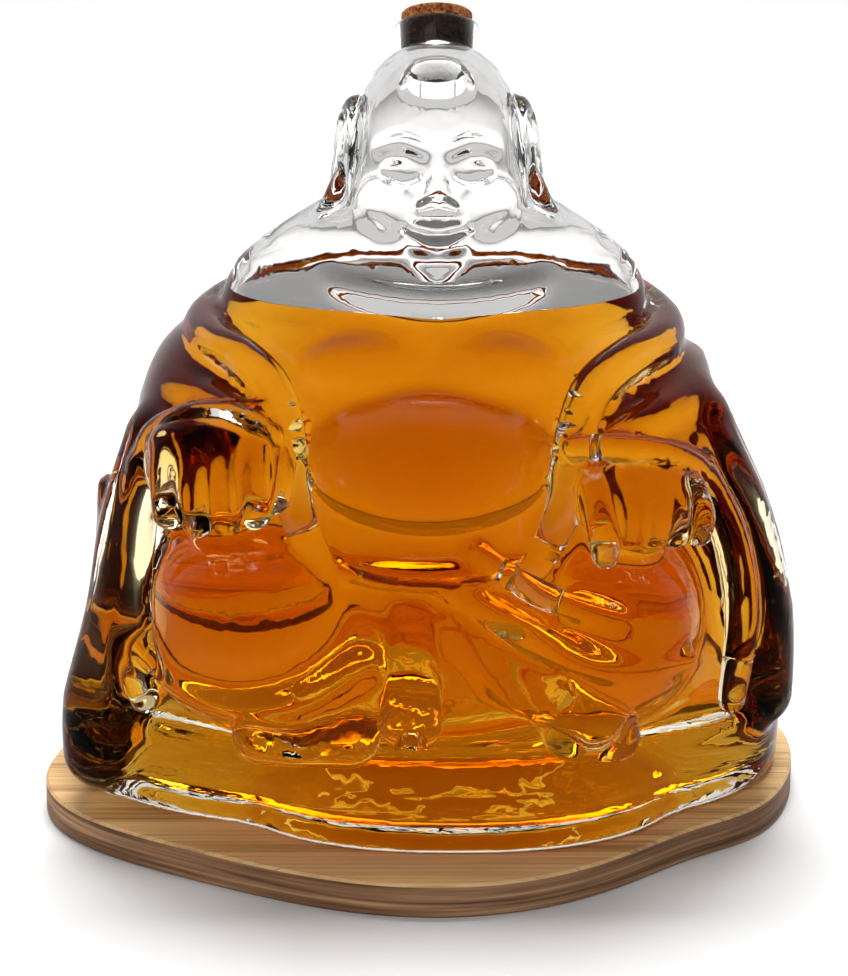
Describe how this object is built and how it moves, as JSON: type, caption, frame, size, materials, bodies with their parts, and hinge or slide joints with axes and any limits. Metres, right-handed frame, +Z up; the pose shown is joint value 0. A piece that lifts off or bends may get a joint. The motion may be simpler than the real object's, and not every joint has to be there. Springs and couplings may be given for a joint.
{
  "type": "figural glass decanter",
  "caption": "Glass liquor decanter in the form of a seated, robed, big-bellied figure, filled with amber liquor, with a cork in a leaning neck, standing on a bamboo board.",
  "frame": {"origin": "middle of the board's underside", "axes": "+Z up; the figure faces -Y; +X is to the right as seen from the front"},
  "size_m": [0.181, 0.15, 0.1896],
  "materials": {
    "clear_glass": "polished",
    "amber_liquor": "gloss",
    "cork": "matte",
    "bamboo": "satin"
  },
  "bodies": {
    "board": {"base_stave_1": "bamboo", "base_stave_2": "bamboo", "base_stave_3": "bamboo", "base_stave_4": "bamboo", "base_stave_5": "bamboo", "base_stave_6": "bamboo", "base_stave_7": "bamboo", "base_stave_8": "bamboo"},
    "bottle": {"glass_bottle": "clear_glass", "liquor": "amber_liquor"},
    "stopper": {"cork_stopper": "cork"}
  },
  "joints": [
    {"name": "bottle_lift", "type": "slide", "parent": "board", "child": "bottle", "axis": [0, 0, 1], "range_m": [0, 0.08]},
    {"name": "cork_pull", "type": "slide", "parent": "bottle", "child": "stopper", "axis": [0, 0.4695, 0.8829], "range_m": [0, 0.045]}
  ]
}
